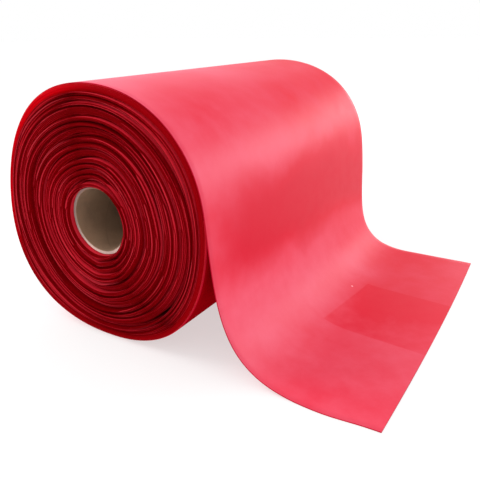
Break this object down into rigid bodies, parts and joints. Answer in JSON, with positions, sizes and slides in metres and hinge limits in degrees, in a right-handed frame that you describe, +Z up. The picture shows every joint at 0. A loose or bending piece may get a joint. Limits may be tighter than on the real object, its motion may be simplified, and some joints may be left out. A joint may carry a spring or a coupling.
{
  "type": "roll of sign vinyl film",
  "caption": "Roll of soft red vinyl film wound on a paperboard core, with its free end run off over the side and lying flat on the bench.",
  "frame": {"origin": "middle of the core's bore, half way along it", "axes": "+Y along the core's bore, away from the front of the roll; +X the way the film runs off on the bench; +Z up"},
  "size_m": [0.3389, 0.3115, 0.2057],
  "materials": {
    "film": "soft satin vinyl film, red, smooth face",
    "wound_film": "the same film seen edge on at the ends of the roll, deep red",
    "core_board": "spirally wound kraft paperboard, matte",
    "core_lining": "grey-brown paperboard lining, matte",
    "tape": "double-sided tape, off-white"
  },
  "bodies": {
    "slumped_film": {"loose_turns": "wound_film", "outer_turn": "film", "free_span": "film"},
    "wound_roll": {"core_inner_ply": "core_lining", "core_wall_plies": "core_board", "core_outer_ply": "core_board", "start_tape": "tape", "wound_turns_1": "wound_film", "wound_turns_2": "wound_film", "wound_turns_3": "wound_film", "wound_turns_4": "wound_film", "wound_turns_5": "wound_film", "wound_turns_6": "wound_film", "wound_turns_7": "wound_film", "wound_turns_8": "wound_film"},
    "cut_end": {"free_end": "film"}
  },
  "joints": [
    {"name": "roll_turn", "type": "hinge", "parent": "slumped_film", "child": "wound_roll", "pos_m": [0, 0, 0], "axis": [0, 1, 0], "range_deg": [0, 360]},
    {"name": "film_feed", "type": "slide", "parent": "slumped_film", "child": "cut_end", "axis": [1, 0, 0], "range_m": [0, 0.67]}
  ],
  "couplings": [
    {"joint": "film_feed", "follows": "roll_turn", "m_per_rad": 0.1055}
  ]
}
